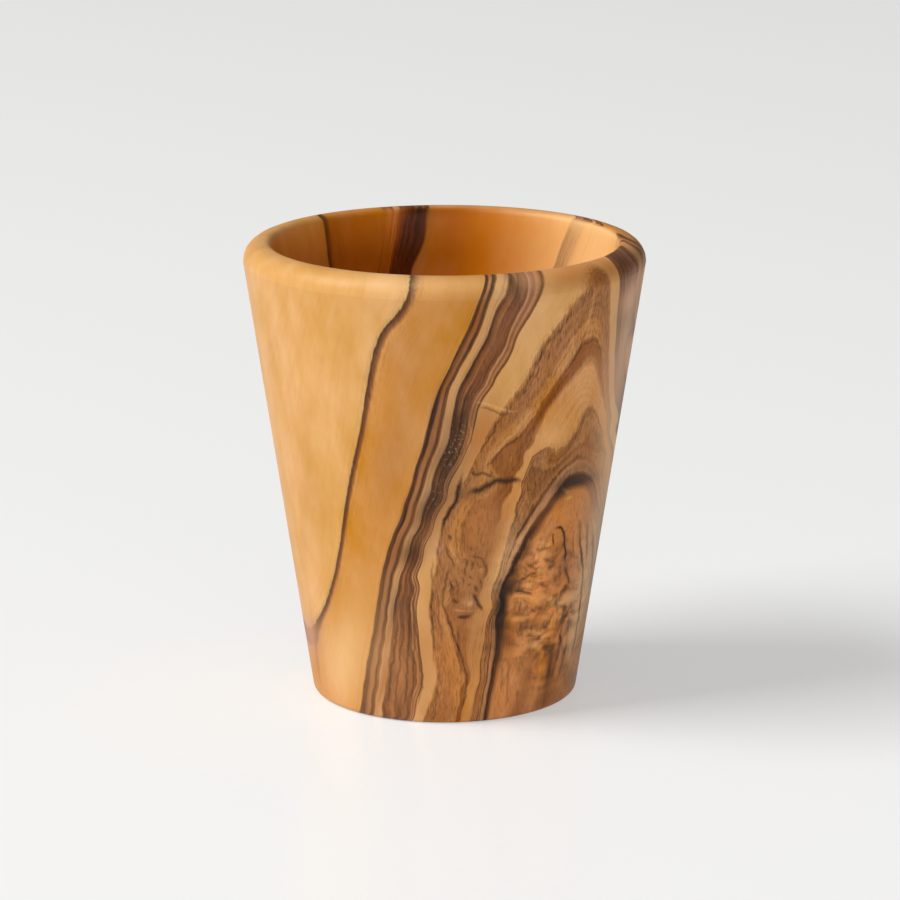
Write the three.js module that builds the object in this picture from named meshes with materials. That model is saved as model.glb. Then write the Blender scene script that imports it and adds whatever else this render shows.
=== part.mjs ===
// A wooden shot glass, turned on a lathe from one billet of olive wood.
// The straight, flared wall ends in a crisp crease with a rounded lip above it.
// Lengths are millimetres, +Z is up, and the origin is the centre of the base.

import * as THREE from "three";

// Outside of the cup
const height = 60;
const mouthDiameter = 52; // at the crease under the lip
const baseDiameter = 34.5; // where the line of the wall meets the base

// Wall and floor, both wall sizes measured level
const lipWall = 3.6;
const heelWall = 4.2; // at the height of the inside floor
const floorThickness = 9;

// Rounded edges
const lipOuterRound = 2.6; // a quarter round that starts upright at the crease
const lipInnerRound = 1;
const floorRound = 7; // the corner between the bore and the floor
const footRound = 0.8; // the eased edge round the base

// Fineness of the facets
const facetsAround = 96;
const degreesPerStep = 15;

const mouthRadius = mouthDiameter / 2;
const baseRadius = baseDiameter / 2;
const lipRound = Math.min(lipOuterRound, lipWall); // a lip can't be rounder than its wall
const creaseHeight = height - lipRound;

// The radius of the outer wall at a height above the base.
function outerRadiusAt(level) {
  return THREE.MathUtils.mapLinear(level, 0, creaseHeight, baseRadius, mouthRadius);
}

// The points of a circular arc from one angle to another, both ends included.
function arc(centre, radius, fromAngle, toAngle) {
  const clockwise = toAngle < fromAngle;
  const turn = THREE.MathUtils.radToDeg(Math.abs(toAngle - fromAngle));
  const steps = Math.max(2, Math.ceil(turn / degreesPerStep));
  const curve = new THREE.EllipseCurve(
    centre.x, centre.y, radius, radius, fromAngle, toAngle, clockwise,
  );
  return curve.getPoints(steps);
}

// The points that round off a corner between two straight runs of the profile.
// The round shrinks where a run is too short for it.
function roundedCorner(before, corner, after, wantedRadius) {
  const back = before.clone().sub(corner);
  const ahead = after.clone().sub(corner);
  const room = Math.min(back.length(), ahead.length());
  const halfAngle = back.angleTo(ahead) / 2;
  const tangentLength = Math.min(wantedRadius / Math.tan(halfAngle), room);
  const radius = tangentLength * Math.tan(halfAngle);
  back.normalize();
  ahead.normalize();

  const start = corner.clone().addScaledVector(back, tangentLength);
  const end = corner.clone().addScaledVector(ahead, tangentLength);
  const inward = back.clone().add(ahead).normalize();
  const centre = corner.clone().addScaledVector(inward, radius / Math.sin(halfAngle));

  const startAngle = start.sub(centre).angle();
  const turn = end.sub(centre).angle() - startAngle;
  const shortTurn = THREE.MathUtils.euclideanModulo(turn + Math.PI, 2 * Math.PI) - Math.PI;
  return arc(centre, radius, startAngle, startAngle + shortTurn);
}

// Half of the cup's section, as radius and height, from the centre of the base,
// up the outside, over the lip and down the bore to the centre of the floor.
function cupProfile() {
  const baseCentre = new THREE.Vector2(0, 0);
  const baseCorner = new THREE.Vector2(baseRadius, 0);
  const crease = new THREE.Vector2(mouthRadius, creaseHeight);
  const lipCentre = new THREE.Vector2(mouthRadius - lipRound, creaseHeight);
  const lipTop = new THREE.Vector2(lipCentre.x, height);
  const boreMouth = new THREE.Vector2(mouthRadius - lipWall, height);
  const boreHeel = new THREE.Vector2(outerRadiusAt(floorThickness) - heelWall, floorThickness);
  const floorCentre = new THREE.Vector2(0, floorThickness);

  return [
    baseCentre,
    ...roundedCorner(baseCentre, baseCorner, crease, footRound),
    ...arc(lipCentre, lipRound, 0, Math.PI / 2),
    ...roundedCorner(lipTop, boreMouth, boreHeel, lipInnerRound),
    ...roundedCorner(boreMouth, boreHeel, floorCentre, floorRound),
    floorCentre,
  ];
}

// The whole cup is one solid piece of wood, spun from its half section.
function turnedCup() {
  const geometry = new THREE.LatheGeometry(cupProfile(), facetsAround);
  geometry.rotateX(Math.PI / 2); // the lathe axis, +Y, becomes +Z
  const oiledOliveWood = new THREE.MeshStandardMaterial({
    color: 0xc98a4b,
    roughness: 0.42,
    metalness: 0,
  });
  const cup = new THREE.Mesh(geometry, oiledOliveWood);
  cup.name = "turned_cup";
  return cup;
}

const shotGlass = new THREE.Group();
shotGlass.add(turnedCup());

export default shotGlass;
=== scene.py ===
"""A shot glass turned from one billet of olive wood, dressed and set on a pale studio floor.

Lengths are in millimetres until a mesh, a lamp or the camera is made, and then in metres. +Z is up.
A place on the cup is a bearing and a height: the bearing is in degrees from the front, which is -Y, and
grows to the right, towards +X. The height is in millimetres above the base. The places that the photograph
shows were picked on it, and the others are guessed.
"""

import logging
import math
from dataclasses import dataclass, field
from enum import Enum
from typing import Any

import bmesh
import bpy
import numpy as np
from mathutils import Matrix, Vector


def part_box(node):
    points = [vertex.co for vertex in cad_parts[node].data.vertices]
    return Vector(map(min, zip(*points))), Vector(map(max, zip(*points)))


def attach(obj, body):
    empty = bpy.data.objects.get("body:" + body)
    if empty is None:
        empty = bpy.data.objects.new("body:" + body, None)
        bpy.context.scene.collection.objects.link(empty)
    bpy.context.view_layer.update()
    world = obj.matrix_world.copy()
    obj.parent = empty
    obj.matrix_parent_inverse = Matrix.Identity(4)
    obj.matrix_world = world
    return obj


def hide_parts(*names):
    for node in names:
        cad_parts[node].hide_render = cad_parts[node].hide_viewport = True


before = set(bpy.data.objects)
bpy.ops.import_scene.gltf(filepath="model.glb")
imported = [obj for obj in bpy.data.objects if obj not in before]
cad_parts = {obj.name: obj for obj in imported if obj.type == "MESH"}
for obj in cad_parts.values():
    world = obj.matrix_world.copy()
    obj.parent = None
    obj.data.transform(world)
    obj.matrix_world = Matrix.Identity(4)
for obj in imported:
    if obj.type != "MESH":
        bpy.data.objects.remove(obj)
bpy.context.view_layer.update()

MM = 0.001
NODE = "turned_cup"
BODY = "root"
STAIN_FIELDS = ("tint", "form", "calm", "wash")

ATTRIBUTE = "ShaderNodeAttribute"
BUMP = "ShaderNodeBump"
COMBINE = "ShaderNodeCombineXYZ"
EMISSION = "ShaderNodeEmission"
HUE = "ShaderNodeHueSaturation"
LIGHT_PATH = "ShaderNodeLightPath"
MAPPING = "ShaderNodeMapping"
MATH = "ShaderNodeMath"
MIX = "ShaderNodeMix"
MIX_SHADER = "ShaderNodeMixShader"
NOISE = "ShaderNodeTexNoise"
PLACE = "ShaderNodeTexCoord"
RAMP = "ShaderNodeValToRGB"
RANGE = "ShaderNodeMapRange"
SEPARATE = "ShaderNodeSeparateXYZ"
SEPARATE_COLOUR = "ShaderNodeSeparateColor"
VECTOR_MATH = "ShaderNodeVectorMath"

# The Mix node's sockets by number, because their names repeat
FACTOR = 0
VALUE_A = 2
VALUE_B = 3
COLOUR_A = 6
COLOUR_B = 7
COLOUR_OUT = 2

# The middle of a noise pattern, and the hue that leaves a colour as it is
NOISE_MIDDLE = 0.5
SAME_HUE = 0.5

# The least squared distance on a bent plate, so that its logarithm stays finite
LEAST_SQUARE = 1e-12

Place = tuple[float, float]
Line = tuple[Place, ...]
Socket = bpy.types.NodeSocket
Tree = bpy.types.NodeTree

log = logging.getLogger("shot_glass")


def linear(hex_colour: str) -> tuple[float, float, float, float]:
    """Turns an sRGB hex colour into linear light.

    Args:
        hex_colour: Six hex digits, red first.

    Returns:
        Linear red, green and blue, and an alpha of 1.
    """
    shares = [int(hex_colour[i:i + 2], 16) / 255 for i in (0, 2, 4)]
    # The sRGB curve: straight for the darkest shades and a power above them
    red, green, blue = (s / 12.92 if s <= 0.04045 else ((s + 0.055) / 1.055) ** 2.4 for s in shares)
    return red, green, blue, 1.0


def add_node(
    tree: Tree, kind: str, inputs: dict[str | int, Any] | None = None, output: str | int = 0, **settings: Any
) -> Socket:
    """Adds one node, with its settings, its socket values and its links.

    Args:
        tree: The node tree to add to.
        kind: The node's type name.
        inputs: For each input socket, the output socket that it takes or its own value.
        output: Which output socket is wanted.
        settings: Properties of the node itself.

    Returns:
        The wanted output socket of the new node.
    """
    node = tree.nodes.new(kind)
    for name, value in settings.items():
        setattr(node, name, value)
    for key, value in (inputs or {}).items():
        if isinstance(value, Socket):
            tree.links.new(value, node.inputs[key])
        else:
            node.inputs[key].default_value = value
    return node.outputs[output]


class Tone(Enum):
    """The colours of oiled olive wood, as sRGB hex values, and the pale grey of the glints painted in its
    pits.
    """

    HONEY = "cf9a5a"
    BLOND = "efc892"
    DULL_HONEY = "c49758"
    AMBER = "c0823b"
    STRAW = "d7a266"
    BUFF = "c5935f"
    ORANGE = "c47a38"
    ROSE = "c48f74"
    GLEAM = "dfa25e"
    TAN = "c08348"
    RUSSET = "965e33"
    FIGURE = "a86f40"
    UMBER = "7e4c29"
    MAUVE = "b27d55"
    CHESTNUT = "8e501d"
    CORE = "d49454"
    KNOT = "cd864c"
    KNOT_BROWN = "a3673a"
    VEIN = "381c0b"
    PITCH = "1a0f08"
    # The pale grey of the specks in the open pits: a painted glint
    PIT_GLINT = "917c68"


@dataclass(frozen=True)
class Vein:
    """One growth line: how deep it lies, in millimetres past the first vein, and where it is seen.

    Its line is on the outer wall and the lip, and its bore line on the wall of the bore. Beyond the cup it
    is given as it is seen edge on, across the block and up.
    """

    depth: float
    line: Line
    bore: Line = ()
    beyond: Line = ()


@dataclass(frozen=True)
class Band:
    """The wood at one depth: its tone, and how much of it is dark heartwood vein."""

    depth: float
    tone: Tone
    vein: float = 0.0

    @property
    def values(self) -> tuple[float, float, float, float]:
        """The tone in linear light, with the share of vein as its alpha."""
        return *linear(self.tone.value)[:3], self.vein


@dataclass(frozen=True)
class Habit:
    """How the wood behaves at one depth: how streaked, how feathered along its fibres, and how speckled."""

    depth: float
    streak: float
    feather: float
    speckle: float

    @property
    def values(self) -> tuple[float, float, float, float]:
        """The three habits, with a plain alpha."""
        return self.streak, self.feather, self.speckle, 1.0


class StainKind(Enum):
    """What a soft patch does to the wood. The value is its attribute and its place there.

    FADE blurs the bands, SWIRL curls them, the pit kind opens pits drawn as pale specks of painted glint,
    BLEACH takes the dark out of the veins and CURLY makes the fibres wavy. Each of the others lays a tone
    over the wood.
    """

    FADE = ("tint", 0)
    DARK = ("tint", 1)
    PALE = ("tint", 2)
    SWIRL = ("form", 0)
    GLINTING_PITS = ("form", 1)
    RED = ("form", 2)
    PLAIN = ("calm", 0)
    BLEACH = ("calm", 1)
    CURLY = ("calm", 2)
    ORANGE = ("wash", 0)
    ROSE = ("wash", 1)


@dataclass(frozen=True)
class Stain:
    """A soft oval patch in the wood, centred on the outer wall. One that is in the bore shows only there.

    Its width, height and depth are in millimetres, and its lean is in degrees.
    """

    place: Place
    wide: float
    tall: float
    strength: float
    lean: float = 0.0
    deep: float = 8.0
    in_bore: bool = False


@dataclass(frozen=True)
class Stroke:
    """A thin mark on the outer wall: a dark line, or a pale one where its strength is negative.

    Its half width is in millimetres.
    """

    half_width: float
    strength: float
    line: Line


@dataclass
class CupSizes:
    """The turned cup's sizes in millimetres, the overall ones from the frame."""

    height: float
    mouth_radius: float
    base_radius: float = 17.25
    lip_wall: float = 3.6
    heel_wall: float = 4.2
    floor_thickness: float = 9.0
    lip_outer_round: float = 2.6
    lip_inner_round: float = 1.0
    floor_round: float = 7.0
    foot_round: float = 0.8

    @property
    def crease_height(self) -> float:
        """The height of the crease where the straight wall ends."""
        return self.height - self.lip_outer_round

    def outer_radius(self, height: float | np.ndarray) -> float | np.ndarray:
        """The outside radius at a height, over the wall and the rounded lip.

        Args:
            height: Height above the base, in millimetres.

        Returns:
            The radius there, in millimetres.
        """
        wall = self.base_radius + (self.mouth_radius - self.base_radius) * height / self.crease_height
        rise = np.clip(height - self.crease_height, 0, self.lip_outer_round)
        drop = self.lip_outer_round - np.sqrt(self.lip_outer_round**2 - rise**2)
        return np.minimum(wall, self.mouth_radius) - drop

    @property
    def heel_radius(self) -> float:
        """The bore's radius where its straight wall would meet the floor."""
        return float(self.outer_radius(self.floor_thickness)) - self.heel_wall

    def bore_radius(self, height: float) -> float:
        """The bore's radius at a height, on its straight wall."""
        share = (height - self.floor_thickness) / (self.height - self.floor_thickness)
        return self.heel_radius + (self.mouth_radius - self.lip_wall - self.heel_radius) * share


@dataclass
class BentPlate:
    """A thin plate bent through given places, so that its value runs smoothly from one place to the next."""

    places: np.ndarray
    values: np.ndarray
    looseness: float
    weights: np.ndarray = field(init=False)

    def __post_init__(self) -> None:
        """Finds how hard the plate is pushed at each place."""
        count, ways = self.places.shape
        system = np.zeros((count + ways + 1, count + ways + 1))
        system[:, :count] = self.terms(self.places).T
        system[:count, count:] = system[count:, :count].T
        system[:count, :count] += self.looseness * np.eye(count)
        self.weights = np.linalg.solve(system, np.append(self.values, np.zeros(ways + 1)))

    def terms(self, spots: np.ndarray) -> np.ndarray:
        """The plate's terms at any spots.

        Args:
            spots: The spots, as rows.

        Returns:
            A row for each spot: a bend for each given place, then the flat plate's terms.
        """
        count, ways = self.places.shape
        rows = np.ones((len(spots), count + ways + 1))
        for column, place in enumerate(self.places):
            square = np.maximum(((spots - place) ** 2).sum(-1), LEAST_SQUARE)
            rows[:, column] = 0.5 * square * np.log(square)
        rows[:, -ways:] = spots
        return rows

    def value(self, spots: np.ndarray) -> np.ndarray:
        """The plate's value at each spot."""
        return self.terms(spots) @ self.weights


@dataclass
class Billet:
    """The block of wood that the cup was cut from, with the run of its growth lines.

    The growth lines are sheets that run through the block from front to back, so those read off the front
    of the cup run on round its back. The bore has lines of its own, which meet the outer ones at the lip.
    """

    sizes: CupSizes
    veins: tuple[Vein, ...]
    stains: dict[StainKind, tuple[Stain, ...]]
    strokes: tuple[Stroke, ...]
    # How far the sheets move to the left and how far they fall, for each millimetre towards the back
    drift: float = 0.3
    plunge: float = 0.25
    looseness: float = 0.05
    # Degrees between places on the lip, how far round the near wall reaches, and how low its lines are held
    lip_step: float = 3.0
    near_wall: float = 81.0
    near_height: float = 30.0
    skin: float = 1.2
    stroke_reach: float = 1.4
    stroke_clearance: float = 1.0
    stroke_samples: int = 5
    far_half_width: float = 0.02
    # The share of a stroke's length that tapers at each end, and the share of its width left at the tip
    stroke_taper: float = 0.18
    tip_width: float = 0.4
    outside: BentPlate = field(init=False)
    bore: BentPlate = field(init=False)

    def __post_init__(self) -> None:
        """Bends one plate through the outer lines, and one through the lip and the lines of the bore.

        The near wall of the bore isn't seen, so the lines of the lip run straight down it.
        """
        outer_spots: list[np.ndarray] = []
        outer_depths: list[float] = []
        bore_spots: list[np.ndarray] = []
        bore_depths: list[float] = []
        for vein in self.veins:
            drawn = [self.edge_on(self.point(place)) for place in vein.line]
            drawn += [np.array(place) for place in vein.beyond]
            outer_spots += drawn
            outer_depths += [vein.depth] * len(drawn)
            bore_spots += [self.point(place, True) for place in vein.bore]
            bore_depths += [vein.depth] * len(vein.bore)
        self.outside = BentPlate(np.array(outer_spots), np.array(outer_depths), self.looseness)
        for bearing in np.arange(-180, 180, self.lip_step):
            lip = self.point((bearing, self.sizes.height))
            depth = float(self.outside.value(self.edge_on(lip)[None])[0])
            found = [lip]
            if abs(bearing) <= self.near_wall:
                found.append(self.point((bearing, self.near_height), True))
            bore_spots += found
            bore_depths += [depth] * len(found)
        self.bore = BentPlate(np.array(bore_spots), np.array(bore_depths), self.looseness)

    def point(self, place: Place, in_bore: bool = False) -> np.ndarray:
        """Finds the point of a wall at a bearing and a height.

        Args:
            place: The bearing and the height.
            in_bore: Whether the point is on the wall of the bore.

        Returns:
            The point, as x, y and z.
        """
        bearing, height = math.radians(place[0]), place[1]
        radius = self.sizes.bore_radius(height) if in_bore else float(self.sizes.outer_radius(height))
        return np.array([radius * math.sin(bearing), -radius * math.cos(bearing), height])

    def edge_on(self, points: np.ndarray) -> np.ndarray:
        """Looks along the sheets of wood, so that each is seen edge on.

        Args:
            points: Points in the block, with x, y and z last.

        Returns:
            Where each point is seen: its place across the block, and its height.
        """
        x, y, z = np.moveaxis(points, -1, 0)
        return np.stack([x + self.drift * y, z + self.plunge * y], axis=-1)

    def depth(self, points: np.ndarray) -> np.ndarray:
        """How deep points of the cup lie, in millimetres past the first vein.

        Args:
            points: Points of the cup, as rows of x, y and z.

        Returns:
            One depth for each point.
        """
        depths = self.outside.value(self.edge_on(points))
        share = self.inside(points)
        within = share > 0
        depths[within] += share[within] * (self.bore.value(points[within]) - depths[within])
        return depths

    def stain_values(self, points: np.ndarray, name: str) -> np.ndarray:
        """Adds up the soft patches that one attribute holds.

        Args:
            points: Points in the block, as rows of x, y and z.
            name: The attribute's name.

        Returns:
            Three strengths for each point, each from 0 to 1.
        """
        totals = np.zeros((len(points), 3))
        for kind, stains in self.stains.items():
            attribute, column = kind.value
            if attribute == name:
                for stain in stains:
                    totals[:, column] += self.stain_share(points, stain)
        return np.clip(totals, 0, 1)

    def stain_share(self, points: np.ndarray, stain: Stain) -> np.ndarray:
        """Measures how strong one soft patch is at points.

        Args:
            points: Points in the block, as rows of x, y and z.
            stain: The patch.

        Returns:
            One strength for each point.
        """
        away = points - self.point(stain.place)
        bearing, lean = math.radians(stain.place[0]), math.radians(stain.lean)
        side = away[:, 0] * math.cos(bearing) + away[:, 1] * math.sin(bearing)
        inward = away[:, 0] * math.sin(bearing) - away[:, 1] * math.cos(bearing)
        wide = side * math.cos(lean) - away[:, 2] * math.sin(lean)
        tall = side * math.sin(lean) + away[:, 2] * math.cos(lean)
        spread = (wide / stain.wide) ** 2 + (tall / stain.tall) ** 2 + (inward / stain.deep) ** 2
        share = self.inside(points) if stain.in_bore else 1.0
        return stain.strength * share * np.exp(-spread)

    def inside(self, points: np.ndarray) -> np.ndarray:
        """Tells how far points lie inside the bore.

        Args:
            points: Points of the cup, as rows of x, y and z.

        Returns:
            A share for each point: 0 on the outer wall and the base, 1 on the wall and floor of the bore.
        """
        height = points[:, 2]
        inward = self.sizes.outer_radius(height) - np.hypot(points[:, 0], points[:, 1])
        return np.clip((inward - self.skin) / self.skin, 0, 1) * (height > self.sizes.floor_thickness / 2)

    def layers(self) -> list[list[Stroke]]:
        """Shares the strokes out so that no two on one layer come near each other.

        Returns:
            The layers, each with its strokes.
        """
        found: list[list[Stroke]] = []
        for stroke in self.strokes:
            free = [layer for layer in found if all(self.apart(stroke, other) for other in layer)]
            if free:
                free[0].append(stroke)
            else:
                found.append([stroke])
        return found

    def apart(self, first: Stroke, second: Stroke) -> bool:
        """Tells whether two strokes are too far apart to meet on the mesh.

        Args:
            first: One stroke.
            second: The other stroke.

        Returns:
            True where they stay clear of each other.
        """
        shares = np.linspace(0, 1, self.stroke_samples)
        spots = []
        for stroke in (first, second):
            ends = zip(np.array(stroke.line), np.array(stroke.line[1:]))
            places = [start + (end - start) * share for start, end in ends for share in shares]
            spots.append(np.array([self.point(place) for place in places]))
        gaps = np.linalg.norm(spots[0][:, None] - spots[1][None], axis=-1)
        return float(gaps.min()) > 2 * self.stroke_reach + self.stroke_clearance

    def stroke_values(self, points: np.ndarray, strokes: list[Stroke]) -> np.ndarray:
        """Measures each point against the nearest stroke of one layer.

        Args:
            points: Points in the block, as rows of x, y and z.
            strokes: The layer's strokes.

        Returns:
            For each point its signed distance to the stroke, the stroke's half width, and its strength.
        """
        values = np.zeros((len(points), 3))
        values[:, 1] = self.far_half_width
        nearest = np.full(len(points), self.stroke_reach)
        height = points[:, 2]
        radius = self.sizes.outer_radius(height)
        on_skin = np.hypot(points[:, 0], points[:, 1]) > radius - self.skin
        bearing = np.degrees(np.arctan2(points[:, 0], -points[:, 1]))
        per_degree = np.radians(radius)
        for stroke in strokes:
            steps = len(stroke.line) - 1
            for step, (start, end) in enumerate(zip(stroke.line, stroke.line[1:])):
                run = np.stack([(end[0] - start[0]) * per_degree, np.full(len(points), end[1] - start[1])])
                away = np.stack([(bearing - start[0]) * per_degree, height - start[1]])
                share = np.clip((away * run).sum(0) / (run**2).sum(0), 0, 1)
                gap = np.hypot(*(away - share * run))
                side = np.sign(run[0] * away[1] - run[1] * away[0])
                travelled = (step + share) / steps
                taper = np.clip(np.minimum(travelled, 1 - travelled) / self.stroke_taper, 0, 1)
                better = on_skin & (gap < nearest)
                nearest[better] = gap[better]
                half_width = stroke.half_width * (self.tip_width + (1 - self.tip_width) * taper)
                found = np.stack([gap * side, half_width, stroke.strength * taper], -1)
                values[better] = found[better]
        return values


VEINS = (
    # The hairline on the left, from the lip down round the left side, and on the far wall of the bore
    Vein(0.0, ((225.2, 60), (-9.3, 60), (-9, 59.3), (-9, 58.3), (-12, 55.5), (-16.5, 53.3),
               (-19.5, 50.5), (-23, 45), (-26, 40), (-30, 35), (-34, 30), (-38.5, 24), (-43, 19.5),
               (-47.5, 16.4), (-53, 13.6), (-58.5, 11.6), (-63.5, 10), (-68, 8.2)),
         bore=((225.2, 59.5), (225, 57), (225, 54), (225, 40), (224, 25)),
         beyond=((-19.5, 5), (-20, 2), (-20.8, -2))),
    # Plain wood between the hairline and the dark band, in the bore
    Vein(5.0, ((213, 60),),
         bore=((213, 59), (213, 56), (213, 53), (214, 40), (215, 25))),
    # The two thin lines at the left of the dark band
    Vein(9.7, ((12.8, 60), (11.8, 59.2), (11, 58.4), (9.7, 57), (5.5, 52), (2, 48.5), (-0.5, 46.3),
               (-2.7, 43.5), (-4.8, 40), (-8.4, 35.3), (-12.4, 30.3), (-16.4, 26.4), (-19.4, 23.7),
               (-21.5, 21.3), (-23.2, 19), (-24.7, 16.6), (-26.3, 14.2), (-28.8, 11), (-31.5, 7.8),
               (-34.2, 4.5), (-37, 1.2))),
    Vein(10.8, ((15, 60), (13.8, 59.2), (12.8, 58.2), (12, 57.3), (8.2, 52.2), (4, 48.5), (1.2, 46),
                (-0.2, 43), (-2, 39), (-5.2, 35.3), (-8.7, 30.9), (-12.5, 26.7), (-15.6, 23.8),
                (-17.7, 21.5), (-19.5, 19.1), (-20.9, 16.8), (-22.2, 14.4), (-24.1, 11.3),
                (-26.3, 8.1), (-28.6, 4.8), (-31.3, 1.6))),
    # The left and right edges of the dark band
    Vein(12.3, ((195, 60), (20.2, 60), (18.7, 59.1), (17.6, 57.8), (12.5, 52.5), (7.8, 48.3),
                (4, 44.7), (2.6, 41), (-0.7, 36.5), (-5.2, 30.9), (-8.8, 26.8), (-11.8, 23.9),
                (-14.1, 21.6), (-16.4, 19.2), (-18.3, 16.8), (-19.4, 14.5), (-20.6, 11.4),
                (-22.4, 8.2), (-24.3, 5), (-26.8, 1.8)),
         bore=((195, 59.4), (197, 56), (199, 53.5), (200, 52), (204, 46), (207, 36), (210, 24))),
    Vein(15.0, ((190.5, 60), (24.8, 60), (23.6, 58.5), (22, 56.5), (17.5, 51.3), (11.5, 46), (8, 43),
                (7, 40), (4, 36.3), (-0.5, 31), (-5, 27), (-8.8, 23.5), (-11, 19), (-12.5, 15),
                (-12.6, 12.5), (-11, 8), (-11.3, 5.5), (-15, 0.8), (62, 59.9), (60.5, 57), (61.5, 54),
                (63, 50), (65.5, 46), (69, 42.5)),
         bore=((190.5, 59.4), (191.5, 57.5), (193, 55), (195.5, 52.5)),
         beyond=((21, 38.5), (22.5, 37.3), (25, 36.7), (27, 36.5))),
    # The last thin line of the dark band
    Vein(16.6, ((186, 60), (131.8, 60), (30.3, 60), (28.5, 58.8), (27.2, 57.6), (24.3, 55), (20.5, 52),
                (15.3, 47.3), (12.3, 45), (10, 43), (8.7, 40), (5.8, 36.5), (1, 32.3), (-3.3, 28),
                (-7, 24.5), (-10, 20.5), (-10.6, 15), (-9.7, 10.3), (-9, 7.3), (-9.6, 5), (-13, 0.8),
                (59.5, 59.9), (58.2, 58.3), (58.5, 57), (60, 52), (62, 47.5), (65, 43.5), (68, 41)),
         bore=((186, 59.5), (186.5, 57.6), (187.2, 55.6), (189.5, 53.6), (192, 51.9), (195, 46),
               (198, 36), (200, 24), (131.8, 59.4), (133.5, 57.5), (135.3, 55.5), (136.5, 53.8),
               (139, 45), (141, 32)),
         beyond=((21, 36.5), (23, 35), (26, 34.5))),
    # The plain wood of the far wall
    Vein(18.5, ((180, 60), (170, 60), (158, 60), (146, 60)),
         bore=((180, 59), (181, 55), (170, 59), (168, 55), (158, 59), (156, 55), (146, 59), (145, 56),
               (180, 40), (165, 40), (150, 40), (180, 22), (160, 22))),
    # The far side of the same band, past the knot, and the plain wood outside it
    Vein(9.7, ((84, 57.9), (88, 59.5), (91, 60)),
         beyond=((24.6, 50), (24.5, 46), (26, 45.5), (28, 45))),
    Vein(12.3, ((124.5, 60), (73.8, 59.9), (71.8, 57.8), (74, 54), (77, 51), (82, 48.5)),
         bore=((124.5, 59.4), (127, 57), (129.5, 55), (130.8, 54), (133, 45), (135, 32)),
         beyond=((24.2, 41), (26, 40.5), (28, 40))),
    Vein(8.3, ((116, 60), (104, 60)),
         bore=((116, 59), (118, 56), (104, 59), (106, 55), (95, 50), (108, 45), (119, 47), (100, 30),
               (118, 32))),
    Vein(5.0, (),
         beyond=((25, 54), (27, 54), (25.5, 62), (28, 62))),
    # The left edge of the brown figure
    Vein(21.0, ((49.8, 59.6), (47.3, 59.4), (45, 58.6), (43, 57), (40, 56), (36, 54), (32, 52),
                (29, 50.5), (26.5, 47.8), (23.5, 45.5), (21, 44.3), (17, 42), (12, 38), (6.5, 33.5),
                (2, 30), (-1, 27), (-2.7, 23.5), (-2.7, 21.3), (-5, 17.5), (-5, 14.3), (-4, 9),
                (-4, 5), (-7, 2), (-9.5, 0), (52.2, 58.6), (53.5, 57), (55, 54), (56.5, 51), (58, 48),
                (60, 45), (62.5, 42), (65, 40), (69, 36)),
         beyond=((21, 31.5), (23, 30.5), (25, 30))),
    # The outer and inner edges of the chestnut arch
    Vein(26.3, ((50, 50.3), (47, 50.3), (44, 50), (42, 48.8), (39.5, 47.3), (36.5, 46), (33, 44),
                (29, 41.5), (25, 39.3), (20, 38), (15.5, 36.3), (10, 30), (7, 24), (0.5, 16),
                (3.5, 12), (6, 9), (8.6, 6), (6.5, 2.5), (5, 0.5), (53, 48.7), (55, 46.6), (58, 43.8),
                (61, 41.5), (64, 39.5)),
         beyond=((22, 26.5), (24, 26))),
    Vein(28.5, ((50, 47.2), (46, 47), (43, 46), (39.5, 44.8), (36, 43.3), (33, 41.7), (30.5, 39.5),
                (28.5, 37.3), (26, 35), (23, 32), (19.5, 28), (17, 24), (15.3, 20), (12.5, 16),
                (10, 12), (9.8, 8), (9, 5), (7.5, 2), (54, 44.6), (57, 42.3), (60, 40.5), (63, 38.5)),
         beyond=((22, 24.5), (24, 24))),
    # The inner edge of the pale core
    Vein(33.0, ((29, 36), (31, 36.3), (33, 36.7), (35, 36.4), (36.7, 35.4), (38.5, 35.2), (41, 35.9),
                (44, 36.7), (47, 38), (49, 39.8), (50.5, 40.4), (53, 40.8), (55.5, 40.1), (58, 38.7),
                (63, 36.5), (68, 34), (27.7, 34.6), (26, 32.5), (25, 30), (23.5, 27), (21.8, 24),
                (19.5, 20), (18.3, 16), (16, 12), (14.5, 8), (13, 4), (11, 0)),
         beyond=((20, 25), (22, 20.5), (24, 19))),
    # The brown hood between the core and the black arch
    Vein(33.5, ((28, 34.4), (31, 35), (34, 35.3))),
    Vein(34.0, ((46, 36), (52, 37.5), (57, 36.5), (62, 34.8), (40, 34.2), (36, 33.5), (32, 32.5),
                (29, 30), (26.5, 27.2))),
    Vein(35.2, ((20.3, 19.2), (22.6, 21.9), (25.4, 24.5), (28.6, 26.9), (32, 29), (36, 31), (40, 32.7),
                (43, 33.6), (47, 34.2), (50, 34.3), (54, 33.9), (57, 33.2), (60, 32.2))),
    # The outer and inner edges of the black arch round the knot
    Vein(36.5, ((17, 0), (18, 3), (19.2, 6), (20, 9), (20, 12), (20, 15), (20.3, 17.5), (22.5, 20),
                (25.5, 22.5), (29, 25), (33, 27), (37, 28.8), (40, 30.3), (43, 31.5), (47, 32.3),
                (52, 32.2), (57, 31.4), (62, 30), (66, 28)),
         beyond=((18.8, 22), (20.3, 16.5), (22, 14))),
    Vein(38.2, ((19, 0), (20, 3), (21.5, 6), (23.3, 9), (23.5, 12), (23.8, 15), (25.5, 17.5),
                (28.5, 19.5), (30, 22), (32, 24), (35, 25.9), (38, 27.5), (41, 28.9), (43.5, 30),
                (46, 30.7), (50, 30.8), (55, 30.2), (60, 28.7), (63, 26.5)),
         beyond=((18.2, 18.5), (19.8, 13), (21.5, 11))),
    # The wood inside the knot
    Vein(40.5, ((45, 27), (52, 26.5), (31, 15), (30, 8), (27, 3), (61, 20), (62, 8)),
         beyond=((18, 5), (19.5, 3))),
    Vein(43.5, ((46, 21), (40, 14), (38, 6), (57, 12))),
    Vein(46.0, ((50, 10), (47.5, 4))),
)

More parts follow.
